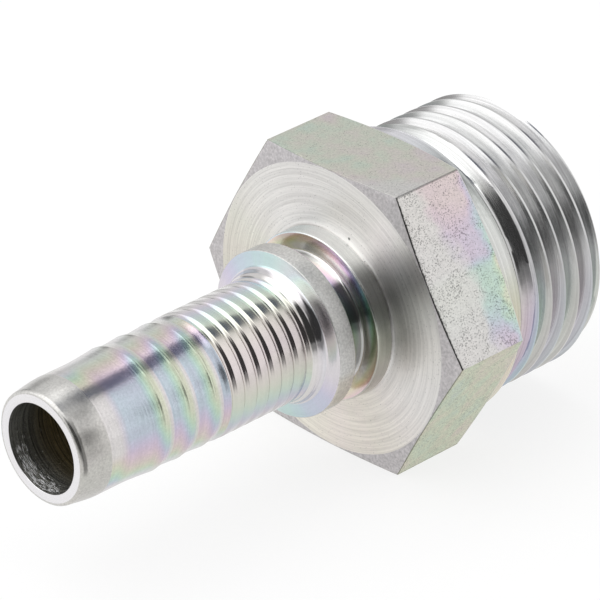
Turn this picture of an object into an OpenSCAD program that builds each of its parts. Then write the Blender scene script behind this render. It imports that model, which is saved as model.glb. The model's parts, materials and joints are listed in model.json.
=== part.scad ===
// Hose insert: one turned piece that goes into the end of a hydraulic hose.
// The tail has sawtooth barbs and ring grooves for the hose's lining, and the groove
// behind the collar takes the lip of the ferrule. A hexagon, a plain shoulder, a
// thread relief and a male thread follow. Inside are the bore, a socket for a tube
// and a cone mouth. X runs along the axis, from the face of the tail's tip at the
// origin to the threaded end, and one flat of the hexagon faces up, along +Z.
// The thread's ridge is left out here: its cylinder has the thread's outer diameter.

/* [Bore] */
// Diameter of the bore through the tail
bore_d = 9.6; // [8:0.1:10.4]

/* [Tip] */
// Length of the tapered tip, with its rounded edge
tip_len = 3.3; // [2:0.1:5]
// How far the tip's taper falls below the tail, on the radius
tip_drop = 0.33; // [0.2:0.01:0.4]
// Radius of the rounded edge round the tip's face
tip_round_r = 0.4; // [0.2:0.05:0.45]

/* [Tail] */
// Diameter of the smooth length behind the tip
tail_d = 12.82; // [12.6:0.02:13.2]
// Length of the smooth part of the tail
smooth_len = 4.3; // [3:0.1:8]
// Number of sawtooth barbs
barb_count = 3; // [1:1:5]
// Distance from one barb's crest to the next
barb_pitch = 3.3; // [2.4:0.1:5]
// Length of the first barb's long rising side
barb_lead = 2.95; // [2:0.05:4]
// Length of each barb's short falling side
barb_fall = 1.2; // [0.8:0.1:1.8]
// Height of the crests above the smooth tail, on the radius
barb_h = 0.28; // [0.2:0.02:0.5]
// Height of the valleys above the smooth tail, on the radius
valley_h = 0.11; // [0:0.01:0.15]

/* [Ring grooves] */
// Number of ring grooves
ring_count = 7; // [3:1:9]
// Distance from one groove's middle to the next
ring_pitch = 1.675; // [1.4:0.025:2.2]
// Width of a groove
ring_w = 0.7; // [0.5:0.05:0.9]
// Depth of a groove
ring_depth = 0.38; // [0.35:0.01:0.6]
// Height of the lands above the smooth tail, on the radius
land_h = 0.31; // [0.25:0.01:0.5]
// Distance from the last barb's valley to the first groove's middle
ring_lead = 1.3; // [0.8:0.1:2]

/* [Neck and collar] */
// Length of the neck that widens from the last groove to the collar
neck_len = 1.4; // [0.8:0.1:3]
// Rise of the neck's radius over that length
neck_rise = 0.46; // [0.2:0.02:0.8]
// Diameter of the collar
collar_d = 18.06; // [17:0.02:20]
// How far the collar's front face leans back, along the axis
collar_lean = 0.36; // [0.1:0.02:0.8]
// Width of the collar's rim
collar_w = 2.14; // [1.5:0.02:4]

/* [Ferrule groove and hub] */
// Diameter of the groove's floor
lock_d = 14.08; // [12.8:0.02:16]
// Width of the groove
lock_w = 3; // [2:0.05:5]
// Radius of the groove's inner corners
lock_fillet_r = 0.45; // [0.2:0.05:0.9]
// Diameter of the hub between the groove and the hexagon
hub_d = 18.4; // [17:0.1:22]
// Length of the hub
hub_len = 2.2; // [1.2:0.1:6]
// Bevel round the hub's front edge
hub_bevel = 0.2; // [0.1:0.05:0.5]
// Radius of the fillet between the hub and the hexagon's face
hub_fillet_r = 0.3; // [0.1:0.05:0.8]

/* [Hexagon] */
// Width across the flats
hex_af = 32; // [30:1:36]
// Length along the axis
hex_len = 10.1; // [7:0.1:14]
// Width that the round front face stays inside the flats, on the radius
face_inset = 0.1; // [0.05:0.05:1]
// Slope of the front face outside that ring, in degrees
face_slope = 9; // [4:1:30]
// Slope of the chamfer at the back, in degrees
rear_slope = 25; // [15:1:35]

/* [Shoulder and relief] */
// How far the shoulder lies inside the hexagon's flats, on the radius
shoulder_inset = 0.15; // [0.1:0.05:0.8]
// Length of the shoulder
shoulder_len = 1.9; // [1:0.1:4]
// Depth of the relief below the thread, on the radius
relief_depth = 0.9; // [0.6:0.05:1.4]
// Width of the relief's floor
relief_w = 1.5; // [1:0.1:3]
// Radius of the relief's inner corner
relief_fillet_r = 0.4; // [0.2:0.05:0.6]

/* [Thread] */
// Outer diameter of the thread
thread_d = 30; // [28:0.5:30]
// Length of the thread, with the chamfers at its ends
thread_len = 11.8; // [8:0.1:20]
// Chamfer at the open end
thread_bevel = 1.1; // [0.6:0.1:1.5]

/* [Mouth] */
// Diameter of the cone mouth at the end face
cone_d = 22.9; // [21.5:0.1:24]
// Angle of the cone, from side to side
cone_angle = 24; // [24:1:37]
// Diameter of the tube's socket
tube_d = 20; // [16:0.5:21]
// Depth of the socket from the end face
socket_depth = 10.5; // [9:0.1:11]
// Angle of the drill's point between the socket and the bore, from side to side
drill_angle = 118; // [90:1:140]

/* [Hidden] */
$fn = 120;

// Steps in a rounded edge's quarter turn
arc_steps = 6;
// How far a cut reaches past the surface that it opens
cut_over = 1;

// Radii
bore_r = bore_d / 2;
tail_r = tail_d / 2;
tip_r = tail_r - tip_drop;
crest_r = tail_r + barb_h;
valley_r = tail_r + valley_h;
land_r = tail_r + land_h;
neck_r = land_r + neck_rise;
collar_r = collar_d / 2;
lock_r = lock_d / 2;
hub_r = hub_d / 2;
flat_r = hex_af / 2;
corner_r = flat_r / cos(30);
face_r = flat_r - face_inset;
shoulder_r = flat_r - shoulder_inset;
thread_r = thread_d / 2;
relief_r = thread_r - relief_depth;
tube_r = tube_d / 2;
cone_r = cone_d / 2;

// Places along the axis, from the tip to the threaded end
smooth_end = tip_len + smooth_len;
first_crest = smooth_end + barb_lead;
last_valley = first_crest + (barb_count - 1) * barb_pitch + barb_fall;
first_ring = last_valley + ring_lead;
last_ring = first_ring + (ring_count - 1) * ring_pitch;
neck_start = last_ring + ring_w / 2;
neck_end = neck_start + neck_len;
collar_start = neck_end + collar_lean;
collar_end = collar_start + collar_w;
hub_start = collar_end + lock_w;
hex_start = hub_start + hub_len;
hex_end = hex_start + hex_len;
shoulder_end = hex_end + shoulder_len;
relief_end = shoulder_end + relief_w;
thread_end = relief_end + thread_len;
socket_start = thread_end - socket_depth;
drill_start = socket_start - (tube_r - bore_r) / tan(drill_angle / 2);
cone_start = thread_end - (cone_r - tube_r) / tan(cone_angle / 2);

// Points of an arc of radius r about [cr, cx], from angle a0 to angle a1
function arc(cr, cx, r, a0, a1) =
    [for (i = [0:arc_steps]) let (a = a0 + (a1 - a0) * i / arc_steps)
        [cr + r * cos(a), cx + r * sin(a)]];

// The face, rounded edge and taper of the tip
function tip_points() = concat(
    [[0, 0]],
    arc(tip_r - tip_round_r, tip_round_r, tip_round_r, -90, 0),
    [[tail_r, tip_len]]);

// Crest and valley of each barb
function barb_points() = [
    for (i = [0:barb_count - 1])
        let (crest = first_crest + i * barb_pitch)
            each [[crest_r, crest], [valley_r, crest + barb_fall]]];

// The outline from the tip to the hexagon's face, before its grooves are cut
function tail_points() = concat(
    tip_points(),
    [[tail_r, smooth_end]],
    barb_points(),
    [[land_r, first_ring - ring_w / 2],
     [land_r, neck_start],
     [neck_r, neck_end],
     [collar_r, collar_start],
     [collar_r, hub_start],
     [hub_r - hub_bevel, hub_start],
     [hub_r, hub_start + hub_bevel]],
    arc(hub_r + hub_fillet_r, hex_start - hub_fillet_r, hub_fillet_r, 180, 90),
    [[hub_r + hub_fillet_r, hex_start + cut_over],
     [0, hex_start + cut_over]]);

// The outline from inside the hexagon to the threaded end
function stud_points() = concat(
    [[0, hex_end - cut_over],
     [shoulder_r, hex_end - cut_over],
     [shoulder_r, shoulder_end]],
    arc(relief_r + relief_fillet_r, shoulder_end + relief_fillet_r, relief_fillet_r, 270, 180),
    [[relief_r, relief_end],
     [thread_r, relief_end + relief_depth],
     [thread_r, thread_end - thread_bevel],
     [thread_r - thread_bevel, thread_end],
     [0, thread_end]]);

// The turned form that trims the hexagon's corners, front and back
function corner_trim_points() =
    let (out_r = corner_r + cut_over)
        [[0, hex_start],
         [face_r, hex_start],
         [out_r, hex_start + (out_r - face_r) * tan(face_slope)],
         [out_r, hex_end - (out_r - shoulder_r) * tan(rear_slope)],
         [shoulder_r, hex_end],
         [0, hex_end]];

// The bore, the drill's point, the socket and the cone mouth
function inside_points() =
    let (flare = cut_over * tan(cone_angle / 2))
        [[0, -cut_over],
         [bore_r, -cut_over],
         [bore_r, drill_start],
         [tube_r, socket_start],
         [tube_r, cone_start],
         [cone_r, thread_end],
         [cone_r + flare, thread_end + cut_over],
         [0, thread_end + cut_over]];

// Turns an outline of [radius, place] points round the X axis
module turned() {
    rotate([0, 90, 0]) rotate_extrude() children();
}

// One ring groove with a round floor
module ring_cut() {
    floor_r = land_r - ring_depth + ring_w / 2;
    translate([floor_r, 0]) circle(d = ring_w);
    translate([floor_r, -ring_w / 2]) square([cut_over, ring_w]);
}

// The ferrule's groove, square to the axis with rounded inner corners
module lock_cut() {
    top_r = max(collar_r, hub_r) + cut_over;
    translate([lock_r + lock_fillet_r, 0]) square([top_r - lock_r - lock_fillet_r, lock_w]);
    translate([lock_r, lock_fillet_r]) square([top_r - lock_r, lock_w - 2 * lock_fillet_r]);
    for (place = [lock_fillet_r, lock_w - lock_fillet_r])
        translate([lock_r + lock_fillet_r, place]) circle(r = lock_fillet_r);
}

module tail() {
    turned() difference() {
        polygon(tail_points());
        for (i = [0:ring_count - 1])
            translate([0, first_ring + i * ring_pitch]) ring_cut();
        translate([0, collar_end]) lock_cut();
    }
}

module hexagon() {
    intersection() {
        translate([hex_start, 0, 0])
            rotate([0, 90, 0]) rotate([0, 0, 30])
                cylinder(r = corner_r, h = hex_len, $fn = 6);
        turned() polygon(corner_trim_points());
    }
}

module stud() {
    turned() polygon(stud_points());
}

module hose_insert() {
    color("#b8b5ac") difference() {
        union() {
            tail();
            hexagon();
            stud();
        }
        turned() polygon(inside_points());
    }
}

hose_insert();
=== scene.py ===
import json
import math
import bpy
import numpy as np
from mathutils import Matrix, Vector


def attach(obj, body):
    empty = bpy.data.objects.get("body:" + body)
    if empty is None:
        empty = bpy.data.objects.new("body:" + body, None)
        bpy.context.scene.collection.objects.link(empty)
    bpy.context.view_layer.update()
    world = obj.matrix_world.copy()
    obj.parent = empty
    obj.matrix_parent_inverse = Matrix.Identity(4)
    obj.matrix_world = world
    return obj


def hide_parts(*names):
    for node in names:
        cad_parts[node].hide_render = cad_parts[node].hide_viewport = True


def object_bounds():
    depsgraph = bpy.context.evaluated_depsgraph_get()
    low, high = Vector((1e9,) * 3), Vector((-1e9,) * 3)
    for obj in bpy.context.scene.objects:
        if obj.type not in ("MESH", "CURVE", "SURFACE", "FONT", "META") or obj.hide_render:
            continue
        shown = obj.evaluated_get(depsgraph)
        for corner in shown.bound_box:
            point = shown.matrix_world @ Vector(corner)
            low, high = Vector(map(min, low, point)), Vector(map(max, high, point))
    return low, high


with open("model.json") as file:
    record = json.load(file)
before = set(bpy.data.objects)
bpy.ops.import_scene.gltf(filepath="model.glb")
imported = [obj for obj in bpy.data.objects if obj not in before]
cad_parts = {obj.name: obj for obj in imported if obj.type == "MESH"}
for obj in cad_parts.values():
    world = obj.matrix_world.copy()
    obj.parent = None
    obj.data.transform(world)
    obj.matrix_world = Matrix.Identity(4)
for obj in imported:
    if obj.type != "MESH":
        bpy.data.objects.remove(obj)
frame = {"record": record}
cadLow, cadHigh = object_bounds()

# A turned zinc-plated hose insert. Lengths in the dictionaries are millimetres along the
# axis or from it, and the mesh is written in metres. The axis is +X. A rounding is the
# distance from a corner to where its curve starts and ends

mounts = {m["name"]: m for m in frame["record"]["mounts"]}
boreRadius = mounts["through_bore"]["dims"]["r_mm"]
socketRadius = mounts["tube_socket"]["dims"]["r_mm"]
threadRadius = mounts["thread"]["dims"]["r_mm"]
tailRadius = mounts["hose_tail"]["dims"]["r_mm"]
flatRadius = cadHigh.z * 1000   # from the axis to a flat of the hexagon
endPlace = cadHigh.x * 1000     # the threaded end
halfFlat = math.radians(30)     # half of the turn that one flat takes up

tip = {
    "faceCorner": (0.0, 6.03),  # place along the axis, distance from it
    "faceRound": 0.34,
    "cone": [(0.75, 6.11), (1.8, 6.27), (2.7, 6.38), (3.4, 6.41)],
    "coneRound": 0.35,
    "boreRound": 0.06,
    "matteEnd": 3.55,           # the coarse grey tip ends here
}
barbs = {
    "start": 7.6,
    "startRound": 1.2,
    "count": 3,
    "pitch": 3.3,
    "firstCrest": 10.55,
    "fall": 1.2,
    "crest": 0.28,              # heights above the smooth tail
    "valley": 0.11,
    "valleyRound": 0.3,
    "lip": [(-0.26, -0.045), (0.0, 0.0), (0.2, -0.055)],  # the sharp crest: place, height
    "lipRound": 0.09,
}
rings = {
    "count": 7,
    "pitch": 1.675,
    "first": 19.65,
    "land": 0.31,               # height above the smooth tail
    # a groove's corners: place from its middle, depth, rounding
    "groove": [(-0.42, 0, 0.13), (-0.28, 0.24, 0.1), (0.04, 0.24, 0.12), (0.28, 0, 0.06)],
}
neck = {
    "cove": [(30.28, 6.77), (30.63, 7.03), (30.78, 7.06), (31.25, 7.22), (31.5, 7.5)],
    "coveRound": 0.13,
    "collarRadius": 9.03,
    "collarFront": 31.81,
    "collarBack": 33.95,
    "collarRound": 0.07,
}
lock = {
    "floor": 7.04,
    "floorRound": 0.4,
    "hubFront": 36.95,
    "hubRadius": 9.2,
    "hubRound": 0.16,
    "hubFillet": 0.3,
}
hexagon = {
    "front": 39.15,
    "frontSlope": 9,            # degrees
    "faceRing": 15.9,           # the turned face ends here
    "faceRound": 0.02,
    "back": 48.97,
    "backSlope": 15,
    "backRound": 0.04,
    "sideRadius": 0.22,         # of the corner between two flats
    "edgeRound": 0.09,
}
stud = {
    "shoulder": 15.85,
    "shoulderEnd": 51.15,
    "shoulderRound": 0.1,
    "bevelStart": 50.4,         # the shoulder's bevel
    "bevelRadius": 15.5,        # and the distance that it falls to
    "bevelRound": 0.3,
    "relief": 14.1,
    "reliefRound": 0.4,
    "reliefSplit": 52.0,        # the helix strip starts here
    "reliefEnd": 52.65,
    "endBevel": 1.1,
}
thread = {
    "pitch": 2.0,
    "crestPlace": 55.137,       # a crest's middle where the turn angle is zero
    "crestFlat": 0.25,
    "rootFlat": 0.3,
    "depth": 1.2,
    "runIn": (53.3, 53.9),      # its depth grows from nothing between these places
    "rows": [1, 4, 1, 4, 1],    # half a root, flank, crest, flank and half a root
}
mouth = {
    "coneRadius": 11.45,
    "coneEdgeRound": 0.15,
    "coneStart": 57.628,
    "coneRound": 0.1,
    "socketEnd": 53.95,
    "socketRound": 0.15,
    "drillEnd": 50.825,
    "drillRound": 0.2,
}
meshing = {
    "turns": 174,               # even steps of turn
    "besideCorner": [-1.1, -0.62, -0.3, 0.3, 0.62, 1.1],  # and more, in degrees from a corner
    "arcSteps": 3,              # steps of a rounding
    "longestRound": 0.48,       # of the shorter stretch beside it
    "pointsPerMetre": 1e7,      # points that round to the same become one
    "sharpAngle": 40,           # degrees
}


# Turn angles round the axis, from +Y toward +Z, closer together at the hexagon's corners
def turnAngles():
    even = np.linspace(0, 360, meshing["turns"], endpoint=False)
    corners = np.arange(6)[:, None] * 60.0
    beside = (corners + np.array(meshing["besideCorner"])).ravel() % 360
    return np.radians(np.unique(np.round(np.concatenate([even, beside]), 6)))


# Distance from the axis to the hexagon's side at each angle: flat / cos(angle from the
# flat's middle), and near a corner the far point of a circle of the corner's radius
def hexRadius(angles):
    fromFlat = angles % (2 * halfFlat) - halfFlat
    plain = flatRadius / np.cos(fromFlat)
    rounding = hexagon["sideRadius"]
    centre = (flatRadius - rounding) / math.cos(halfFlat)
    fromCorner = halfFlat - np.abs(fromFlat)
    inside = rounding ** 2 - (centre * np.sin(fromCorner)) ** 2
    rounded = centre * np.cos(fromCorner) + np.sqrt(np.maximum(inside, 0))
    return np.where(inside > 0, np.minimum(plain, rounded), plain)


# The turned outline as corners: place, distance, rounding, rows to the next corner and the
# zone of that stretch. It runs from the helix strip's far edge over the end face, back
# through the inside to the tip, and along the outside to the strip's near edge. Only the
# hexagon's edges depend on the turn: place = front + (side - face ring) * tan(slope), and
# back - (side - shoulder) * tan(slope)
def outlineCorners(sides):
    corners = []

    def corner(place, distance, rounding, rows, zone):
        corners.append((place, distance, rounding, rows, zone))

    corner(endPlace, threadRadius - stud["endBevel"], 0, 2, "mouth")
    corner(endPlace, mouth["coneRadius"], mouth["coneEdgeRound"], 3, "mouth")
    corner(mouth["coneStart"], socketRadius, mouth["coneRound"], 3, "mouth")
    corner(mouth["socketEnd"], socketRadius, mouth["socketRound"], 2, "mouth")
    corner(mouth["drillEnd"], boreRadius, mouth["drillRound"], 8, "bore")
    corner(0, boreRadius, tip["boreRound"], 2, "tipFace")
    corner(*tip["faceCorner"], tip["faceRound"], 1, "tip")
    for place, distance in tip["cone"]:
        corner(place, distance, tip["coneRound"], 1, "tip")
    corner(tip["matteEnd"], tailRadius, 0, 3, "tail")
    corner(barbs["start"], tailRadius, barbs["startRound"], 2, "tail")
    crestRadius, valleyRadius = tailRadius + barbs["crest"], tailRadius + barbs["valley"]
    for k in range(barbs["count"]):
        crest = barbs["firstCrest"] + k * barbs["pitch"]
        for place, height in barbs["lip"]:
            corner(crest + place, crestRadius + height, barbs["lipRound"], 1, "tail")
        corner(crest + barbs["fall"], valleyRadius, barbs["valleyRound"], 1, "tail")
    land = tailRadius + rings["land"]
    for k in range(rings["count"]):
        middle = rings["first"] + k * rings["pitch"]
        for place, depth, rounding in rings["groove"]:
            corner(middle + place, land - depth, rounding, 1, "rings")
    for place, distance in neck["cove"][:-1]:
        corner(place, distance, neck["coveRound"], 1, "neck")
    corner(*neck["cove"][-1], neck["coveRound"], 2, "collarFace")
    corner(neck["collarFront"], neck["collarRadius"], neck["collarRound"], 2, "rim")
    corner(neck["collarBack"], neck["collarRadius"], neck["collarRound"], 1, "lock")
    corner(neck["collarBack"], lock["floor"], lock["floorRound"], 2, "lock")
    corner(lock["hubFront"], lock["floor"], lock["floorRound"], 2, "lock")
    corner(lock["hubFront"], lock["hubRadius"], lock["hubRound"], 2, "hub")
    corner(hexagon["front"], lock["hubRadius"], lock["hubFillet"], 6, "face")
    frontRise = (sides - hexagon["faceRing"]) * math.tan(math.radians(hexagon["frontSlope"]))
    backFall = (sides - stud["shoulder"]) * math.tan(math.radians(hexagon["backSlope"]))
    corner(hexagon["front"], hexagon["faceRing"], hexagon["faceRound"], 2, "corners")
    corner(hexagon["front"] + frontRise, sides, hexagon["edgeRound"], 12, "flats")
    corner(hexagon["back"] - backFall, sides, hexagon["edgeRound"], 2, "back")
    corner(hexagon["back"], stud["shoulder"], hexagon["backRound"], 2, "shoulder")
    corner(stud["bevelStart"], stud["shoulder"], stud["bevelRound"], 2, "shoulder")
    corner(stud["shoulderEnd"], stud["bevelRadius"], stud["shoulderRound"], 1, "relief")
    corner(stud["shoulderEnd"], stud["relief"], stud["reliefRound"], 2, "relief")
    corner(stud["reliefSplit"], stud["relief"], 0, 0, "relief")
    return corners


# Rows of the outline at every angle. A rounded corner C is a curve from the point A a
# rounding before it to the point B a rounding after it, (1-t)^2 A + 2t(1-t) C + t^2 B
def outlineRows(corners, angleCount):
    points = np.empty((len(corners), angleCount, 2))
    for k, (place, distance, *_) in enumerate(corners):
        points[k, :, 0] = place
        points[k, :, 1] = distance
    steps = np.diff(points, axis=0)
    lengths = np.linalg.norm(steps, axis=2, keepdims=True)
    last = len(corners) - 1
    starts, ends = points.copy(), points.copy()
    for k in range(1, last):
        most = meshing["longestRound"] * np.minimum(lengths[k - 1], lengths[k])
        setBack = np.minimum(corners[k][2], most)
        starts[k] = points[k] - steps[k - 1] / lengths[k - 1] * setBack
        ends[k] = points[k] + steps[k] / lengths[k] * setBack
    arc = np.linspace(0, 1, meshing["arcSteps"] + 1)
    rows, zones = [], []
    for k, (_, _, rounding, between, zone) in enumerate(corners):
        curve = arc if rounding > 0 and 0 < k < last else [0]
        for t in curve:
            rows.append((1 - t) ** 2 * starts[k] + 2 * t * (1 - t) * points[k] + t ** 2 * ends[k])
        straight = np.arange(1, between + 1) / (between + 1) if k < last else []
        for t in straight:
            rows.append(ends[k] * (1 - t) + starts[k + 1] * t)
        zones += [zone] * (len(curve) + len(straight))
    return np.array(rows), zones


# Distance from the axis of the plain stud before its thread is cut: the relief's floor,
# a slope up to the thread's diameter, and the bevel at the end
def studBlank(place):
    up = stud["relief"] + (place - stud["reliefEnd"])
    down = threadRadius - (place - (endPlace - stud["endBevel"]))
    return np.minimum(np.clip(up, stud["relief"], threadRadius), down)


# Distance from the axis of the thread, by how far across one pitch the point lies from
# the crest's middle: the crest's flat, a straight flank and the root's flat
def threadDistance(fromCrest):
    halfCrest, halfRoot = thread["crestFlat"] / 2, thread["rootFlat"] / 2
    flank = thread["pitch"] / 2 - halfCrest - halfRoot
    fall = np.clip((np.abs(fromCrest) - halfCrest) / flank, 0, 1)
    return threadRadius - thread["depth"] * fall


# The stud's surface as one strip that runs along the helix: t counts turns round the axis,
# across goes over one pitch, and place = crest + pitch * t + across. What lies outside the
# stud is drawn back to its two ends, and the distance is the thread's or the blank's,
# whichever is less
def helixStrip(angles):
    pitch = thread["pitch"]
    half = pitch / 2
    halfCrest, halfRoot = thread["crestFlat"] / 2, thread["rootFlat"] / 2
    knots = [-half, halfRoot - half, -halfCrest, halfCrest, half - halfRoot, half]
    spans = zip(knots, knots[1:], thread["rows"])
    across = np.concatenate([np.linspace(a, b, n, endpoint=False) for a, b, n in spans] + [[half]])
    firstTurn = math.floor((stud["reliefSplit"] - thread["crestPlace"]) / pitch) - 2
    lastTurn = math.ceil((endPlace - thread["crestPlace"]) / pitch) + 2
    turns = np.arange(firstTurn, lastTurn)
    t = (turns[:, None] + angles[None, :] / (2 * math.pi)).ravel()
    t = np.append(t, lastTurn)
    turn = np.append(np.tile(angles, len(turns)), angles[0])
    place = thread["crestPlace"] + pitch * t[None, :] + across[:, None]
    cut = threadDistance(np.broadcast_to(across[:, None], place.shape))
    place = np.clip(place, stud["reliefSplit"], endPlace)
    shallow, full = thread["runIn"]
    cut = cut + np.clip((full - place) / (full - shallow), 0, 1) * thread["depth"]
    return place, np.minimum(cut, studBlank(place)), np.broadcast_to(turn, place.shape)


# Points in metres: x is the place along the axis, y is distance * cos(turn) and z is
# distance * sin(turn)
def turnedPoints(place, distance, turn):
    return np.stack([place, distance * np.cos(turn), distance * np.sin(turn)], -1) * 0.001


# Quads of a grid whose columns close round the axis, or don't
def gridFaces(rowCount, columnCount, closed):
    row = np.arange(rowCount - 1)[:, None]
    column = np.arange(columnCount if closed else columnCount - 1)[None, :]
    after = (column + 1) % columnCount
    a, b = row * columnCount + column, row * columnCount + after
    c, d = (row + 1) * columnCount + after, (row + 1) * columnCount + column
    return np.stack([a, b, c, d], -1).reshape(-1, 4)


# The upper flat and the one beside it have finishes of their own
def flatsBySide(zone, angles, zoneIndex):
    turn = np.degrees((angles + np.append(angles[1:], angles[0] + 2 * math.pi)) / 2)
    turn = np.tile(turn, len(zone) // len(turn))
    onFlats = zone == zoneIndex["flats"]
    zone = zone.copy()
    zone[onFlats & (turn > 60) & (turn < 120)] = zoneIndex["topFlat"]
    zone[onFlats & (turn > 120) & (turn < 180)] = zoneIndex["sideFlat"]
    return zone


# One vertex for all points that round to the same ten-thousandth of a millimetre, and no
# face with fewer than three of them or with opposite corners that met
def weld(points, faces, zone):
    keys = np.round(points * meshing["pointsPerMetre"]).astype(np.int64)
    _, first, which = np.unique(keys, axis=0, return_index=True, return_inverse=True)
    faces = which.ravel()[faces]
    distinct = 1 + (np.diff(np.sort(faces, axis=1), axis=1) > 0).sum(1)
    folded = (faces[:, 0] == faces[:, 2]) | (faces[:, 1] == faces[:, 3])
    keep = (distinct >= 3) & ~folded
    return points[first], faces[keep], zone[keep]


# A mesh from whole arrays. A quad with two neighbouring corners that met becomes a triangle
def meshFrom(points, faces):
    own = faces != np.roll(faces, -1, axis=1)
    corners = own.sum(1)
    mesh = bpy.data.meshes.new("insertBody")
    mesh.vertices.add(len(points))
    mesh.vertices.foreach_set("co", points.astype(np.float32).ravel())
    mesh.loops.add(int(corners.sum()))
    mesh.loops.foreach_set("vertex_index", faces[own].astype(np.int32))
    mesh.polygons.add(len(faces))
    mesh.polygons.foreach_set("loop_start", (np.cumsum(corners) - corners).astype(np.int32))
    mesh.update(calc_edges=True)
    return mesh


def buildInsert(materials):
    angles = turnAngles()
    rows, zones = outlineRows(outlineCorners(hexRadius(angles)), len(angles))
    bodyPoints = turnedPoints(rows[:, :, 0], rows[:, :, 1], angles).reshape(-1, 3)
    bodyFaces = gridFaces(len(rows), len(angles), True)
    zoneIndex = {name: k for k, name in enumerate(materials)}
    bodyZones = np.repeat([zoneIndex[z] for z in zones[:-1]], len(angles))
    bodyZones = flatsBySide(bodyZones, angles, zoneIndex)
    place, distance, turn = helixStrip(angles)
    stripPoints = turnedPoints(place, distance, turn).reshape(-1, 3)
    stripFaces = gridFaces(*place.shape, False) + len(bodyPoints)
    stripZones = np.full(len(stripFaces), zoneIndex["thread"])
    points = np.concatenate([bodyPoints, stripPoints])
    faces = np.concatenate([bodyFaces, stripFaces])
    zone = np.concatenate([bodyZones, stripZones])
    points, faces, zone = weld(points, faces, zone)
    mesh = meshFrom(points, faces)
    mesh.polygons.foreach_set("material_index", zone.astype(np.int32))
    for material in materials.values():
        mesh.materials.append(material)
    mesh.polygons.foreach_set("use_smooth", np.ones(len(mesh.polygons), bool))
    mesh.set_sharp_from_angle(angle=math.radians(meshing["sharpAngle"]))
    body = bpy.data.objects.new("insertBody", mesh)
    bpy.context.scene.collection.objects.link(body)
    return body


# Puts a value, or what another socket gives, into a socket
def feed(tree, value, socket):
    if isinstance(value, bpy.types.NodeSocket):
        tree.links.new(value, socket)
    else:
        socket.default_value = value


# Adds a node with its settings. Its sockets are filled by label, or by number as in0, in1
def put(tree, kind, settings=None, **values):
    node = tree.nodes.new(kind)
    for name, value in (settings or {}).items():
        setattr(node, name, value)
    for name, value in values.items():
        number = name.removeprefix("in")
        feed(tree, value, node.inputs[int(number) if number.isdigit() else name])
    return node


def calc(tree, operation, first, second=None, third=None):
    values = {f"in{i}": v for i, v in enumerate((first, second, third)) if v is not None}
    return put(tree, "ShaderNodeMath", {"operation": operation}, **values).outputs[0]


# value * factor + more
def scaled(tree, value, factor, more):
    return calc(tree, "MULTIPLY_ADD", value, factor, more)


# From one number where the value is low to another where it is high
def ramp(tree, value, low, high, first=0.0, last=1.0, kind="LINEAR"):
    return put(tree, "ShaderNodeMapRange", {"interpolation_type": kind}, in0=value, in1=low,
        in2=high, in3=first, in4=last).outputs[0]


# A smooth step from 0 to 1
def step(tree, value, low, high):
    return ramp(tree, value, low, high, kind="SMOOTHSTEP")


# Noise in layers, each finer than the last. Its scale is in cells per unit of the vector
def layeredNoise(tree, vector, scale, detail, roughness=0.5):
    return put(tree, "ShaderNodeTexNoise", Vector=vector, Scale=scale, Detail=detail,
        Roughness=roughness).outputs[0]


# A colour turned into another, or multiplied by it, by a share
def blended(tree, share, first, second, kind="MIX"):
    return put(tree, "ShaderNodeMix", {"data_type": "RGBA", "blend_type": kind}, in0=share,
        in6=first, in7=second).outputs[2]


# A node group. An input given as None is a vector, and one given as a tuple is a colour
def newGroup(name, inputs, outputs):
    group = bpy.data.node_groups.new(name, "ShaderNodeTree")
    for label, value in inputs.items():
        kind = "Vector" if value is None else "Color" if isinstance(value, tuple) else "Float"
        socket = group.interface.new_socket(name=label, in_out="INPUT",
            socket_type="NodeSocket" + kind)
        if value is not None:
            socket.default_value = value
    for label in outputs:
        kind = "Color" if label == "Colour" else "Float"
        group.interface.new_socket(name=label, in_out="OUTPUT", socket_type="NodeSocket" + kind)
    given = group.nodes.new("NodeGroupInput").outputs
    return group, given, group.nodes.new("NodeGroupOutput").inputs


noiseRange = (0.3, 0.7)         # nearly all layered noise lies between these
perMetre = 1000.0               # millimetres in a metre
filmColours = {
    "shifts": (0.0, 0.33, 0.67),  # of red, green and blue, in turns of the phase
    "pinkLoss": 0.2,            # the film is weaker where it is pink
    "share": 0.8,               # and this strong in between
}
pitShape = {
    "smallest": 0.2,            # size of the smallest beside the largest
    "size": 0.55,               # of the largest, in cells
    "inset": -0.1,              # so that the smallest don't show
    "softness": 0.2,            # of a pit's rim
    "patches": 500.0,           # cells per metre of the noise that thins them out
    "thinned": 0.3,             # what it leaves of their size
}
# Noise at an outline: cells per metre, and for a width the noise's factor and what is added
ragged = {
    "spot": (2500.0,),
    "edgeLine": (1600.0, 3.0, -0.6),
    "arc": (1500.0, 1.6, 0.2),
}
fullPart = 0.5                  # a line is full over this part of its width
narrowest = 0.001               # width of an edge line where the noise closes it
arcFade = 0.6                   # an arc is full this far from its reach to its middle


# Place along the axis and distance from it in millimetres, and the turn as a unit vector
def turnedCoordinatesGroup():
    group, given, result = newGroup("turnedCoordinates", {"Position": None},
        ["Along", "Distance", "Side", "Up"])
    parts = put(group, "ShaderNodeSeparateXYZ", in0=given["Position"]).outputs
    along, sideways, upward = (calc(group, "MULTIPLY", part, perMetre) for part in parts)
    squares = (calc(group, "MULTIPLY", part, part) for part in (sideways, upward))
    distance = calc(group, "SQRT", calc(group, "ADD", *squares))
    feed(group, along, result["Along"])
    feed(group, distance, result["Distance"])
    feed(group, calc(group, "DIVIDE", sideways, distance), result["Side"])
    feed(group, calc(group, "DIVIDE", upward, distance), result["Up"])
    return group


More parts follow.
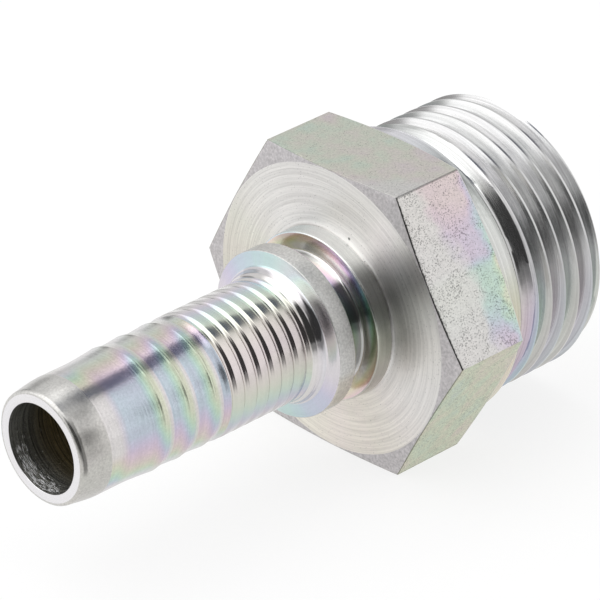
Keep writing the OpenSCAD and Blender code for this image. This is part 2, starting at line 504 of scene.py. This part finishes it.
# Fine rings left by the turning tool: layered noise of the distance along the cut,
# which changes only slowly round the axis
def turningMarksGroup():
    group, given, result = newGroup("turningMarks", {"Along Cut": 0.0, "Side": 0.0, "Up": 0.0,
        "Lines per mm": 5.0, "Wander": 0.3}, ["Height", "Mask"])
    cut = calc(group, "MULTIPLY", given["Along Cut"], given["Lines per mm"])
    side = calc(group, "MULTIPLY", given["Side"], given["Wander"])
    up = calc(group, "MULTIPLY", given["Up"], given["Wander"])
    vector = put(group, "ShaderNodeCombineXYZ", in0=cut, in1=side, in2=up).outputs[0]
    noise = layeredNoise(group, vector, 1.0, detail=5, roughness=0.65)
    feed(group, noise, result["Height"])
    feed(group, ramp(group, noise, *noiseRange), result["Mask"])
    return group


# Pale colours of the thin film on the zinc: each channel of the metal is multiplied by
# 1 - share * (0.5 - 0.5 cos(2 pi (phase + shift))), where the share is
# strength * (0.8 - 0.2 cos(2 pi phase))
def rainbowFilmGroup():
    group, given, result = newGroup("rainbowFilm",
        {"Phase": 0.0, "Strength": 0.2, "Metal": (0.7, 0.7, 0.7, 1)}, ["Colour"])
    pink = calc(group, "COSINE", calc(group, "MULTIPLY", given["Phase"], 2 * math.pi))
    share = scaled(group, pink, -filmColours["pinkLoss"], filmColours["share"])
    share = calc(group, "MULTIPLY", given["Strength"], share)
    channels = {}
    for k, shift in enumerate(filmColours["shifts"]):
        turn = calc(group, "MULTIPLY", calc(group, "ADD", given["Phase"], shift), 2 * math.pi)
        wave = scaled(group, calc(group, "COSINE", turn), 0.5, -0.5)
        channels[f"in{k}"] = scaled(group, wave, share, 1.0)
    film = put(group, "ShaderNodeCombineColor", **channels).outputs[0]
    feed(group, blended(group, 1.0, given["Metal"], film, "MULTIPLY"), result["Colour"])
    return group


# Small dark pits: dots round the points of cells scattered through space, of a size that
# is random for each cell, times a slow noise
def pitsGroup():
    group, given, result = newGroup("pits",
        {"Position": None, "Pits per mm": 4.0, "Amount": 0.3}, ["Mask"])
    position = given["Position"]
    scale = calc(group, "MULTIPLY", given["Pits per mm"], perMetre)
    cells = put(group, "ShaderNodeTexVoronoi", Vector=position, Scale=scale, Randomness=1.0).outputs
    chance = put(group, "ShaderNodeSeparateColor", in0=cells["Color"]).outputs[0]
    where = layeredNoise(group, position, pitShape["patches"], detail=3, roughness=0.7)
    spread = ramp(group, where, *noiseRange, pitShape["thinned"])
    smallest = pitShape["smallest"]
    reach = calc(group, "MULTIPLY", scaled(group, chance, 1 - smallest, smallest), spread)
    reach = calc(group, "MULTIPLY", reach, given["Amount"])
    size = scaled(group, reach, pitShape["size"], pitShape["inset"])
    edge = calc(group, "ADD", size, pitShape["softness"])
    feed(group, ramp(group, cells["Distance"], size, edge, 1.0, 0.0), result["Mask"])
    return group


# Fine grain of a blasted or rolled surface: layered noise of the position
def grainGroup():
    group, given, result = newGroup("grain", {"Position": None, "Grains per mm": 5.0}, ["Height"])
    scale = calc(group, "MULTIPLY", given["Grains per mm"], perMetre)
    noise = layeredNoise(group, given["Position"], scale, detail=4, roughness=0.7)
    feed(group, ramp(group, noise, *noiseRange), result["Height"])
    return group


# A spot: full where the distance from its centre, made uneven by noise, is below its
# radius, and gone past radius + softness
def spotGroup():
    group, given, result = newGroup("spot", {"Position": None, "Centre": None, "Radius mm": 0.3,
        "Softness mm": 0.1, "Unevenness mm": 0.2}, ["Mask"])
    position, radius = given["Position"], given["Radius mm"]
    apart = put(group, "ShaderNodeVectorMath", {"operation": "DISTANCE"}, in0=position,
        in1=given["Centre"]).outputs["Value"]
    noise = layeredNoise(group, position, *ragged["spot"], detail=3, roughness=0.6)
    uneven = calc(group, "MULTIPLY", calc(group, "SUBTRACT", noise, 0.5), given["Unevenness mm"])
    reach = scaled(group, apart, perMetre, uneven)
    outer = calc(group, "ADD", radius, given["Softness mm"])
    feed(group, ramp(group, reach, radius, outer, 1.0, 0.0), result["Mask"])
    return group


# A line along the hexagon's front or rear edge: 1 at the edge and 0 a width away from it,
# with the edge's place = start + slope * (distance from the axis - turned radius)
def edgeLineGroup():
    group, given, result = newGroup("edgeLine", {"Position": None, "Along": 0.0, "Distance": 0.0,
        "Start": 0.0, "Slope": 0.0, "Turned Radius": 16.0, "Width": 0.15}, ["Mask"])
    cells, factor, more = ragged["edgeLine"]
    beyond = calc(group, "SUBTRACT", given["Distance"], given["Turned Radius"])
    edge = scaled(group, beyond, given["Slope"], given["Start"])
    apart = calc(group, "ABSOLUTE", calc(group, "SUBTRACT", given["Along"], edge))
    noise = layeredNoise(group, given["Position"], cells, detail=4, roughness=0.7)
    width = calc(group, "MULTIPLY", given["Width"], scaled(group, noise, factor, more))
    share = calc(group, "DIVIDE", apart, calc(group, "MAXIMUM", width, narrowest))
    feed(group, ramp(group, share, fullPart, 1.0, 1.0, 0.0), result["Mask"])
    return group


# An arc on the turned surface: 1 within half a width of its place along the axis, gone at
# a width, and fading at both ends where cos(turn - middle) falls to the given reach
def arcGroup():
    group, given, result = newGroup("arc", {"Position": None, "Along": 0.0, "Turn Cosine": 0.0,
        "Place": 0.0, "Width": 0.2, "Reach": 0.8}, ["Mask"])
    cells, factor, more = ragged["arc"]
    noise = layeredNoise(group, given["Position"], cells, detail=3, roughness=0.6)
    width = calc(group, "MULTIPLY", given["Width"], scaled(group, noise, factor, more))
    apart = calc(group, "ABSOLUTE", calc(group, "SUBTRACT", given["Along"], given["Place"]))
    across = ramp(group, calc(group, "DIVIDE", apart, width), fullPart, 1.0, 1.0, 0.0)
    full = scaled(group, given["Reach"], 1 - arcFade, arcFade)
    along = step(group, given["Turn Cosine"], given["Reach"], full)
    feed(group, calc(group, "MULTIPLY", across, along), result["Mask"])
    return group


plainFinish = {
    "metal": (0.80, 0.79, 0.77),
    "metallic": 1.0,
    "rough": 0.22,
    "spread": 0.6,              # how far the turning marks stretch a reflection
    "film": 0.12,               # strength of the pale film colours
    # where it is stronger round the axis: turn in degrees, folded, from and to cosine, amount.
    # Folded means that the far side counts as the near one
    "filmTurn": [],
    "filmOut": [],              # and away from the axis: from, to, amount
    "filmEnd": [],              # where it thins out along the axis: from, to, share left
    "phase": 0.0,               # where on the rainbow the colours start
    "phaseTurn": (150, 0.0, True),  # its change with the turn: degrees, amount, folded
    "phaseCap": 1.0,            # the cosine of that turn counts up to here
    "perMm": 0.0,               # its change across the cut
    "perMmOut": 0.0,            # and away from the axis
    "cloud": 0.3,               # its wander, in patches
    "cloudPerTurn": 1.6,        # how quickly they change round the axis
    "cloudPerMm": 0.075,        # and along it, as a part of that
    "lines": 5.0,               # turning marks per mm
    "wander": 0.5,              # how quickly the marks change round the axis
    "depth": 0.004,             # of the marks
    "tone": 0.10,               # how much the marks darken the metal
    "grain": 0.06,              # how much the grain darkens it
    "grainHeight": 2,           # of its bumps, as a part of that
    "grainPerMm": 4.0,
    "pits": 0.0,
    "pitsPerMm": 4.5,
    "pitShade": 0.25,
    "across": False,            # whether the cut runs along the radius
    # spots that darken the metal, most of them painted shade: place along the axis, distance, turn
    # in degrees, radius, softness, shade
    "spots": [],
    # arcs that darken the metal, most of them painted shade: place along the axis, width, turn in
    # degrees, reach as a cosine, shade
    "arcs": [],
    # on the hexagon: start, slope, turned radius, width, shade
    "edgeLines": [],
}
acrossMarks = 0.25              # turn that stretches a reflection across the marks
frontEdge = (hexagon["front"], math.tan(math.radians(hexagon["frontSlope"])), hexagon["faceRing"])
backEdge = (hexagon["back"], -math.tan(math.radians(hexagon["backSlope"])), stud["shoulder"])
# The whole length of an edge between two flats, at a turn of 120 degrees
sideEdge = (44, 60, 120, 0.99997, 0.6)
# Painted shade on the thread and its relief: the spots darken it round turns of 155 and 168
# degrees, and the arc darkens it round a turn of 48 degrees
threadLook = dict(metal=(0.80, 0.80, 0.80), metallic=0.97, rough=0.16, film=0.02,
    filmTurn=[(208, False, 0.68, 0.98, 0.24), (40, False, 0.85, 0.98, 0.14)],
    filmEnd=[(54.0, 55.6, 0.35)], phase=0.346, phaseTurn=(200, 0.38, False), perMm=0.25,
    tone=0.34, depth=0.014, lines=8,
    spots=[(52.4, 14.4, 155, 2.5, 3.5, 0.84), (60.0, 15.0, 168, 4.0, 5.0, 0.86)],
    arcs=[(58, 60, 48, 0.9, 0.55)])
finishes = {
    "mouth": dict(rough=0.28, film=0.05, phase=0.5, cloud=0.8, lines=6),
    "bore": dict(metal=(0.49, 0.49, 0.45), metallic=0.72, rough=0.34, film=0.0, depth=0.06,
        tone=0.92, spread=0.3, grain=0.3),
    "tipFace": dict(metal=(0.93, 0.93, 0.93), rough=0.2, film=0.03, lines=6, tone=0.04,
        across=True),
    # Painted shade on the tip: the spots darken it round turns of 122, 150 and 188 degrees, and the
    # arc is a painted dark reflection, a crescent by the face's edge
    "tip": dict(metal=(0.79, 0.78, 0.765), rough=0.29, spread=0.3, film=0.03, lines=2,
        tone=0.05, grain=0.3, pits=0.3, phase=0.72, filmTurn=[(190, False, 0.4, 0.9, 0.05)],
        spots=[(2.0, 6.2, 122, 0.8, 1.6, 0.6), (1.2, 6.2, 150, 0.5, 1.0, 0.93),
            (2.0, 6.3, 188, 2.4, 2.6, 0.88)],
        arcs=[(0.42, 0.3, 158, 0.85, 0.4)]),
    "tail": dict(rough=0.18, spread=0.75, film=0.04,
        filmTurn=[(165, False, 0.0, 0.42, 0.24), (250, False, 0.75, 0.88, -0.22),
            (330, False, 0.3, 0.7, 0.2)],
        phase=-1.39, phaseTurn=(148, 1.42, True), phaseCap=0.93, cloud=0.14, depth=0.012,
        tone=0.12, grain=0.16),
    # Painted shade on the rings: the spots darken their lower side at a turn of 205 degrees and the
    # end by the neck at a turn of 150 degrees
    "rings": dict(metal=(0.80, 0.79, 0.78), rough=0.16, spread=0.5, film=0.02,
        filmTurn=[(148, True, 0.2, 0.5, 0.15)], phase=-0.35, phaseTurn=(148, 1.2, True),
        tone=0.05,
        spots=[(24.0, 6.7, 205, 5.5, 4.0, 0.91), (29.5, 6.7, 150, 2.0, 3.0, 0.86)]),
    # Painted shade: the spot darkens the neck round a turn of 150 degrees
    "neck": dict(metal=(0.82, 0.82, 0.81), rough=0.14, film=0.07, phase=0.7, perMm=0.3,
        spots=[(31.0, 7.1, 150, 1.6, 2.4, 0.76)]),
    "collarFace": dict(metal=(0.84, 0.84, 0.83), rough=0.16, film=0.26,
        filmTurn=[(148, True, 0.4, 0.8, -0.18)], phase=-0.02, phaseTurn=(90, 0.38, True),
        cloud=0.25),
    "rim": dict(metal=(0.81, 0.81, 0.80), rough=0.42, spread=0.2, film=0.03,
        filmTurn=[(207, False, 0.94, 0.99, 0.22)], phase=0.72, lines=2, tone=0.04, grain=0.36),
    # Painted shade: the spots darken the lock groove's wall round turns of 72 and 180 degrees
    "lock": dict(metal=(0.87, 0.865, 0.85), rough=0.15, film=0.0, filmOut=[(7.8, 8.4, 0.42)],
        phase=-0.54, perMmOut=0.22, phaseTurn=(230, 0.53, False), cloud=0.1,
        spots=[(36.95, 8.2, 72, 1.6, 2.4, 0.62), (36.95, 8.2, 180, 3.0, 3.2, 0.6)]),
    # Painted shade: the spot darkens the hub round a turn of 198 degrees
    "hub": dict(metal=(0.87, 0.865, 0.855), rough=0.24, film=0.02,
        filmTurn=[(215, False, 0.3, 0.9, 0.18), (45, False, 0.75, 0.97, 0.14)],
        phase=0.56, phaseTurn=(230, 0.22, False), cloud=0.2, pits=0.3, tone=0.2,
        spots=[(38.0, 9.2, 198, 3.0, 5.0, 0.68)]),
    # Painted shade: the first spot darkens the face round the hub at a turn of 172 degrees. The
    # second darkens it toward the top, and the third is a small dark dot
    "face": dict(metal=(0.985, 0.98, 0.965), rough=0.34, spread=0.95, film=0.05,
        filmTurn=[(305, False, -0.3, 0.6, 0.17)], phase=0.78, cloud=0.25, depth=0.03,
        tone=0.28, wander=1.2, across=True, pits=0.42, pitsPerMm=3.0,
        spots=[(39.15, 9.6, 172, 1.2, 3.6, 0.5), (39.15, 13.0, 88, 2.5, 5.0, 0.87),
            (39.15, 9.65, 107.5, 0.1, 0.1, 0.2)]),
    "corners": dict(metal=(0.73, 0.72, 0.71), rough=0.42, spread=0.0, film=0.05, tone=0.0,
        grain=0.42, grainPerMm=3.0, across=True),
    "flats": dict(metal=(0.81, 0.80, 0.69), rough=0.33, spread=0.0, film=0.15, tone=0.0,
        grain=0.38, pits=1.0, pitsPerMm=5.5, pitShade=0.45, phase=0.2, cloud=1.1,
        cloudPerTurn=4.5, edgeLines=[(*frontEdge, 0.12, 0.45), (*backEdge, 0.1, 0.5)]),
    "topFlat": dict(metal=(0.765, 0.76, 0.74), rough=0.34, spread=0.0, tone=0.0, grain=0.3,
        pits=0.7, pitsPerMm=5.5, pitShade=0.4, edgeLines=[(*frontEdge, 0.08, 0.6)],
        arcs=[sideEdge]),
    "sideFlat": dict(metal=(0.81, 0.795, 0.765), rough=0.33, spread=0.0, tone=0.0, grain=0.24,
        pits=1.3, pitsPerMm=6.6, pitShade=0.42,
        edgeLines=[(*frontEdge, 0.22, 0.15), (*backEdge, 0.12, 0.4)], arcs=[sideEdge]),
    "back": dict(rough=0.28, film=0.06, phase=0.5, cloud=0.8, across=True),
    # Painted shade on the shoulder: the spots at turns of 117 and 160 degrees darken it, the first
    # arc is a painted shadow at its end and the second darkens it round a turn of 48 degrees. The
    # spot at 77 degrees darkens a small patch
    "shoulder": dict(metal=(0.97, 0.96, 0.97), film=0.06,
        filmTurn=[(205, False, 0.6, 0.95, 0.4)], phase=0.4, phaseTurn=(200, 0.4, False),
        cloud=0.2, tone=0.25,
        spots=[(50.6, 15.85, 77, 0.8, 1.6, 0.55), (50.4, 15.85, 160, 6.0, 6.0, 0.79),
            (50.2, 15.85, 117, 2.0, 4.0, 0.68)],
        arcs=[(51.1, 0.14, 130, -1.0, 0.35), (50, 40, 48, 0.93, 0.6)]),
    "relief": threadLook,
    "thread": threadLook,
}


# Cosine of the turn from an angle in degrees: side * cos(angle) + up * sin(angle). The
# argument at holds the four coordinates that the group turnedCoordinates puts out
def turnCosine(tree, at, angle, folded):
    turn = math.radians(angle)
    value = calc(tree, "MULTIPLY", at["Side"], math.cos(turn))
    value = scaled(tree, at["Up"], math.sin(turn), value)
    return calc(tree, "ABSOLUTE", value) if folded else value


tailFilm = {
    "start": (4.2, 6.2, 0.3),   # the phase rises between these places, by this
    "startPhase": 0.1,
    "before": 2.1,              # a barb's colours start this far before its crest
    "rise": (-1.6, 0.3, 0.4),   # from and to, past a crest, and change of phase
    "wrap": (0.55, 1.15, 0.6),
    "thinFrom": (0.3, 0.75),    # the film gets thin past a crest
    "thinTo": (0.95, 1.15),     # and is back here
    "thinned": 0.75,            # what it loses there
    "calmEnd": (4.8, 6.2),      # near the tip it is thin too, up to here
    "calmTurn": (0.75, 0.88),   # where the side faces the turn of the phase
    "calmed": 0.85,
}


# Phase and share of the film along the tail. The phase rises along the smooth length,
# rises again to each crest, and wraps round in the valley behind it, where the film is
# thin. Near the tip it is thin too, on one side
def tailPhase(tree, along, facing):
    look = tailFilm
    start = barbs["firstCrest"] - look["before"]
    past = calc(tree, "MAXIMUM", calc(tree, "SUBTRACT", along, start), 0.0)
    past = calc(tree, "FLOORED_MODULO", past, barbs["pitch"])
    past = calc(tree, "SUBTRACT", past, look["before"])
    low, high, change = look["start"]
    phase = scaled(tree, step(tree, along, low, high), change, look["startPhase"])
    for low, high, change in (look["rise"], look["wrap"]):
        phase = scaled(tree, step(tree, past, low, high), change, phase)
    falling, back = step(tree, past, *look["thinFrom"]), step(tree, past, *look["thinTo"])
    thin = calc(tree, "SUBTRACT", falling, back)
    early = calc(tree, "SUBTRACT", 1.0, step(tree, along, *look["calmEnd"]))
    calm = calc(tree, "MULTIPLY", early, step(tree, facing, *look["calmTurn"]))
    share = calc(tree, "MULTIPLY", scaled(tree, thin, -look["thinned"], 1.0),
        scaled(tree, calm, -look["calmed"], 1.0))
    return phase, share


# Phase and strength of the film on a turned surface. The phase changes across the cut,
# away from the axis, with the turn and in patches that are drawn out along the axis
def turnedFilm(tree, name, look, at):
    cut = at["Distance"] if look["across"] else at["Along"]
    around = look["cloudPerTurn"]
    lengthwise = look["cloudPerMm"] * around
    stretched = put(tree, "ShaderNodeCombineXYZ",
        in0=calc(tree, "MULTIPLY", at["Along"], lengthwise),
        in1=calc(tree, "MULTIPLY", at["Side"], around),
        in2=calc(tree, "MULTIPLY", at["Up"], around)).outputs[0]
    cloud = layeredNoise(tree, stretched, 1.0, detail=3, roughness=0.6)
    phase = scaled(tree, cloud, look["cloud"], look["phase"])
    phase = scaled(tree, cut, look["perMm"], phase)
    phase = scaled(tree, at["Distance"], look["perMmOut"], phase)
    angle, amount, folded = look["phaseTurn"]
    facing = turnCosine(tree, at, angle, folded)
    phase = scaled(tree, calc(tree, "MINIMUM", facing, look["phaseCap"]), amount, phase)
    strength = look["film"]
    for turn, folded, low, high, added in look["filmTurn"]:
        shown = step(tree, turnCosine(tree, at, turn, folded), low, high)
        strength = scaled(tree, shown, added, strength)
    for low, high, added in look["filmOut"]:
        strength = scaled(tree, step(tree, at["Distance"], low, high), added, strength)
    for low, high, left in look["filmEnd"]:
        share = scaled(tree, step(tree, at["Along"], low, high), left - 1, 1.0)
        strength = calc(tree, "MULTIPLY", strength, share)
    if name == "tail":
        rise, share = tailPhase(tree, at["Along"], facing)
        phase = calc(tree, "ADD", phase, rise)
        strength = calc(tree, "MULTIPLY", strength, share)
    return phase, strength


# The film on two of the flats. Across is the coordinate that runs across the flat
flatFilm = {
    "sideFlat": {
        "across": "Up",
        "strip": (44.6, 46.8),    # the film is thin before here and full after
        "lean": 0.2,              # how far these places move per mm across the flat
        "strengths": (0.02, 0.24),  # thin and full
        "phase": 0.04,
        # changes of phase across the flat and along the axis: from, to, amount
        "phaseAcross": [(15.0, 9.0, 0.26), (8.6, 7.2, 0.3), (6.0, 0.5, -0.36)],
        "phaseAlong": [(47.2, 48.7, 0.26)],
        "wander": 0.3,            # of the phase
    },
    "topFlat": {
        "across": "Side",
        "strip": (34.4, 37.6),
        "lean": 0.92,
        "strengths": (0.02, 0.15),
        "phase": 0.93,
        "phaseAcross": [(-5.0, 3.0, -0.12)],
        "phaseAlong": [],
        "wander": 1.3,
    },
}
flatNoise = {
    "cells": 260.0,             # per metre
    "strip": 6.0,               # how far it moves the strip's place
    "phaseAlong": 4.0,          # and the places of the changes along the axis
}


# Phase and strength of the film on a flat: strength = step(along + lean * across + noise),
# and the phase changes in steps across the flat and toward its rear edge
def filmOnFlat(tree, look, at, position):
    across = calc(tree, "MULTIPLY", at[look["across"]], at["Distance"])
    noise = layeredNoise(tree, position, flatNoise["cells"], detail=3)
    noise = calc(tree, "SUBTRACT", noise, 0.5)
    place = scaled(tree, noise, flatNoise["strip"], at["Along"])
    place = scaled(tree, across, look["lean"], place)
    thin, full = look["strengths"]
    strength = scaled(tree, step(tree, place, *look["strip"]), full - thin, thin)
    phase = scaled(tree, noise, look["wander"], look["phase"])
    for low, high, change in look["phaseAcross"]:
        phase = scaled(tree, step(tree, across, low, high), change, phase)
    for low, high, change in look["phaseAlong"]:
        place = scaled(tree, noise, flatNoise["phaseAlong"], at["Along"])
        phase = scaled(tree, step(tree, place, low, high), change, phase)
    return phase, strength


# Painted highlights in the bore: where the glints are, its colour turns white and it loses metallic
# share
boreWall = {
    "deepMetal": (0.66, 0.54, 0.30),
    "deepening": (2.2, 5.5),
    "glintsFrom": (0.1, 0.4),   # white glints fade in
    "glintsTo": (1.3, 2.7),     # and out
    "glintTurn": 295,           # degrees
    "glintSide": (0.4, 0.95),   # none and full, as the cosine from that turn
    "noiseAlong": 10.0,         # cells of their noise per mm
    "noiseRound": 7.0,
    "nearMore": 0.22,           # added to the noise where they are full
    "threshold": (0.725, 0.75),
    "colour": (0.95, 0.95, 0.96, 1),
    "metallicLoss": 0.6,
}


# Colour and metallic share of the bore's wall: grey at its mouth and olive farther in, with
# painted highlights: matte white glints on the rough wall near the mouth, which are a stretched
# noise above a threshold
def boreColour(tree, colour, at):
    ratio = np.array(boreWall["deepMetal"]) / np.array(finishes["bore"]["metal"])
    deep = step(tree, at["Along"], *boreWall["deepening"])
    colour = blended(tree, deep, colour, (*ratio, 1), "MULTIPLY")
    vector = put(tree, "ShaderNodeCombineXYZ",
        in0=calc(tree, "MULTIPLY", at["Along"], boreWall["noiseAlong"]),
        in1=calc(tree, "MULTIPLY", at["Side"], boreWall["noiseRound"]),
        in2=calc(tree, "MULTIPLY", at["Up"], boreWall["noiseRound"])).outputs[0]
    noise = layeredNoise(tree, vector, 1.0, detail=2, roughness=0.6)
    shown = step(tree, at["Along"], *boreWall["glintsFrom"])
    near = calc(tree, "SUBTRACT", shown, step(tree, at["Along"], *boreWall["glintsTo"]))
    facing = turnCosine(tree, at, boreWall["glintTurn"], False)
    near = calc(tree, "MULTIPLY", near, step(tree, facing, *boreWall["glintSide"]))
    glint = step(tree, scaled(tree, near, boreWall["nearMore"], noise), *boreWall["threshold"])
    metallic = scaled(tree, glint, -boreWall["metallicLoss"], finishes["bore"]["metallic"])
    return blended(tree, glint, colour, boreWall["colour"]), metallic


# One finish: the metal's colour with its film, times what marks, grain, pits, spots, arcs
# and edge lines leave of it. Most spots and arcs are painted shade
def steelFinish(name, look, groups):
    material = bpy.data.materials.new(name + "Steel")
    material.use_nodes = True
    tree = material.node_tree
    tree.nodes.clear()
    shader = put(tree, "ShaderNodeBsdfPrincipled", Metallic=look["metallic"],
        Roughness=look["rough"], Anisotropic=look["spread"])
    tangent = put(tree, "ShaderNodeTangent", {"direction_type": "RADIAL", "axis": "X"})
    feed(tree, acrossMarks, shader.inputs["Anisotropic Rotation"])
    feed(tree, tangent.outputs[0], shader.inputs["Tangent"])
    put(tree, "ShaderNodeOutputMaterial", in0=shader.outputs[0])
    position = put(tree, "ShaderNodeTexCoord").outputs["Object"]

    # places a group, whose labels are written with _ for a space
    def place(group, **values):
        node = put(tree, "ShaderNodeGroup", {"node_tree": groups[group]})
        for label, value in values.items():
            feed(tree, value, node.inputs[label.replace("_", " ")])
        return node.outputs

    def shaded(shade, mask, factor):
        return calc(tree, "MULTIPLY", shade, scaled(tree, mask, factor - 1, 1.0))

    at = place("coordinates", Position=position)
    cut = at["Distance"] if look["across"] else at["Along"]
    marks = place("marks", Along_Cut=cut, Side=at["Side"], Up=at["Up"],
        Lines_per_mm=look["lines"], Wander=look["wander"])
    if name in flatFilm:
        phase, strength = filmOnFlat(tree, flatFilm[name], at, position)
    else:
        phase, strength = turnedFilm(tree, name, look, at)
    film = place("film", Phase=phase, Strength=strength, Metal=(*look["metal"], 1))["Colour"]
    grain = place("grain", Position=position, Grains_per_mm=look["grainPerMm"])["Height"]
    shade = calc(tree, "MULTIPLY", scaled(tree, marks["Mask"], look["tone"], 1 - look["tone"]),
        scaled(tree, grain, look["grain"], 1 - look["grain"]))
    if look["pits"] > 0:
        pits = place("pits", Position=position, Amount=look["pits"], Pits_per_mm=look["pitsPerMm"])
        shade = shaded(shade, pits["Mask"], look["pitShade"])
    for spotPlace, distance, turn, radius, softness, factor in look["spots"]:
        centre = turnedPoints(spotPlace, distance, math.radians(turn))
        spot = place("spot", Position=position, Centre=tuple(centre), Radius_mm=radius,
            Softness_mm=softness, Unevenness_mm=radius)
        shade = shaded(shade, spot["Mask"], factor)
    for arcPlace, width, turn, reach, factor in look["arcs"]:
        arc = place("arc", Position=position, Along=at["Along"], Place=arcPlace, Width=width,
            Turn_Cosine=turnCosine(tree, at, turn, False), Reach=reach)
        shade = shaded(shade, arc["Mask"], factor)
    for start, slope, radius, width, factor in look["edgeLines"]:
        line = place("edgeLine", Position=position, Along=at["Along"], Distance=at["Distance"],
            Start=start, Slope=slope, Turned_Radius=radius, Width=width)
        shade = shaded(shade, line["Mask"], factor)
    colour = put(tree, "ShaderNodeVectorMath", {"operation": "SCALE"}, in0=film, Scale=shade)
    colour = colour.outputs[0]
    if name == "bore":
        colour, metallic = boreColour(tree, colour, at)
        feed(tree, metallic, shader.inputs["Metallic"])
    feed(tree, colour, shader.inputs["Base Color"])
    height = scaled(tree, grain, look["grain"] * look["grainHeight"], marks["Height"])
    bump = put(tree, "ShaderNodeBump", Strength=1.0, Distance=look["depth"] * 0.001, Height=height)
    feed(tree, bump.outputs[0], shader.inputs["Normal"])
    return material


def buildMaterials():
    groups = {
        "coordinates": turnedCoordinatesGroup(),
        "marks": turningMarksGroup(),
        "film": rainbowFilmGroup(),
        "pits": pitsGroup(),
        "grain": grainGroup(),
        "spot": spotGroup(),
        "edgeLine": edgeLineGroup(),
        "arc": arcGroup(),
    }
    looks = {name: {**plainFinish, **look} for name, look in finishes.items()}
    return {name: steelFinish(name, look, groups) for name, look in looks.items()}


# Light from each direction: a base, then patches where it is brighter or darker.
# A patch is full inside its core angle from its centre and gone at its rim angle
studio = {
    "base": (0.78, 0.78, 0.78),
    # toward, core and rim in degrees, light
    "patches": [
        ((0.62, -0.68, 0.38), 22, 40, (1.05, 1.05, 1.05)),
        ((-0.75, 0.48, 0.45), 20, 38, (1.5, 1.5, 1.5)),
        ((0.32, 0.92, 0.2), 7, 15, (0.3, 0.3, 0.3)),
        ((-0.15, 0.15, 0.97), 24, 44, (1.7, 1.7, 1.7)),
        ((0.60, 0.0, 0.80), 5, 15, (0.42, 0.42, 0.42)),
        ((0.73, 0.06, 0.68), 4, 11, (0.2, 0.2, 0.22)),
        ((0.455, 0.0, 0.89), 8, 15, (0.12, 0.14, 0.19)),
        ((-0.45, -0.72, 0.42), 30, 42, (0.05, 0.05, 0.05)),
        ((0.03, -0.93, 0.33), 14, 24, (0.05, 0.05, 0.05)),
        ((-0.88, -0.45, 0.14), 15, 28, (0.05, 0.05, 0.05)),
    ],
}


def buildStudio():
    world = bpy.data.worlds.new("studio")
    bpy.context.scene.world = world
    world.use_nodes = True
    tree = world.node_tree
    tree.nodes.clear()
    direction = put(tree, "ShaderNodeTexCoord").outputs["Generated"]
    colour = (*studio["base"], 1)
    for toward, core, rim, light in studio["patches"]:
        centre = np.array(toward) / np.linalg.norm(toward)
        close = put(tree, "ShaderNodeVectorMath", {"operation": "DOT_PRODUCT"}, in0=direction,
            in1=tuple(centre)).outputs["Value"]
        gone, full = math.cos(math.radians(rim)), math.cos(math.radians(core))
        colour = blended(tree, step(tree, close, gone, full), colour, (*light, 1))
    background = put(tree, "ShaderNodeBackground", Color=colour, Strength=1.0)
    put(tree, "ShaderNodeOutputWorld", in0=background.outputs[0])


floorLook = {
    "size": 6.0,                # metres
    "colour": (0.2, 0.2, 0.2),
    "roughness": 0.8,
    "glow": 0.7,                # as the steel reflects it
    "seenGlow": 0.8,            # as the camera sees it
    "darkToward": (-0.8, -0.6),  # its reflected glow fades out this way
    "sector": (0.15, 0.5),      # none and full, as the cosine from that direction
    "fade": (0.03, 0.12),       # from and to, in metres from the origin
    "fadeLeft": 0.12,           # what is left of it
}


def buildFloor():
    half = floorLook["size"] / 2
    low = cadLow.z
    square = [(-half, -half, low), (half, -half, low), (half, half, low), (-half, half, low)]
    mesh = bpy.data.meshes.new("floor")
    mesh.from_pydata(square, [], [(0, 1, 2, 3)])
    material = bpy.data.materials.new("floorPaper")
    material.use_nodes = True
    tree = material.node_tree
    shader = tree.nodes["Principled BSDF"]
    feed(tree, (*floorLook["colour"], 1), shader.inputs["Base Color"])
    feed(tree, floorLook["roughness"], shader.inputs["Roughness"])
    feed(tree, (1, 1, 1, 1), shader.inputs["Emission Color"])
    position = put(tree, "ShaderNodeTexCoord").outputs["Object"]
    x, y, _ = put(tree, "ShaderNodeSeparateXYZ", in0=position).outputs
    darkX, darkY = floorLook["darkToward"]
    away = scaled(tree, y, darkY, calc(tree, "MULTIPLY", x, darkX))
    reach = calc(tree, "SQRT", scaled(tree, x, x, calc(tree, "POWER", y, 2.0)))
    inSector = step(tree, calc(tree, "DIVIDE", away, reach), *floorLook["sector"])
    dark = calc(tree, "MULTIPLY", step(tree, reach, *floorLook["fade"]), inSector)
    glow = floorLook["glow"]
    reflected = scaled(tree, dark, (floorLook["fadeLeft"] - 1) * glow, glow)
    seen = put(tree, "ShaderNodeLightPath").outputs["Is Camera Ray"]
    shown = put(tree, "ShaderNodeMix", {"data_type": "FLOAT"}, in0=seen, in2=reflected,
        in3=floorLook["seenGlow"])
    feed(tree, shown.outputs[0], shader.inputs["Emission Strength"])
    mesh.materials.append(material)
    floor = bpy.data.objects.new("floor", mesh)
    bpy.context.scene.collection.objects.link(floor)


camera = {
    "place": (-0.2534027, -0.3028908, 0.2334334),  # metres
    "turn": (61.11135, 0.81323, -44.04149),  # degrees
    "lens": 283.7635,
    "sensor": 36,
    "clip": (0.01, 20),         # metres
}


def buildCamera():
    data = bpy.data.cameras.new("camera")
    data.lens = camera["lens"]
    data.sensor_width = camera["sensor"]
    data.clip_start, data.clip_end = camera["clip"]
    eye = bpy.data.objects.new("camera", data)
    eye.location = camera["place"]
    eye.rotation_euler = [math.radians(a) for a in camera["turn"]]
    bpy.context.scene.collection.objects.link(eye)
    bpy.context.scene.camera = eye


buildCamera()
buildFloor()
buildStudio()
bpy.context.scene.view_settings.view_transform = "Standard"
print("stage and studio made")

materials = buildMaterials()
print("finishes made:", len(materials))

insert = buildInsert(materials)
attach(insert, "root")
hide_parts("hose_insert")
triangles = len(insert.data.loops) - 2 * len(insert.data.polygons)
print("insert made:", len(insert.data.vertices), "vertices,", triangles, "triangles")
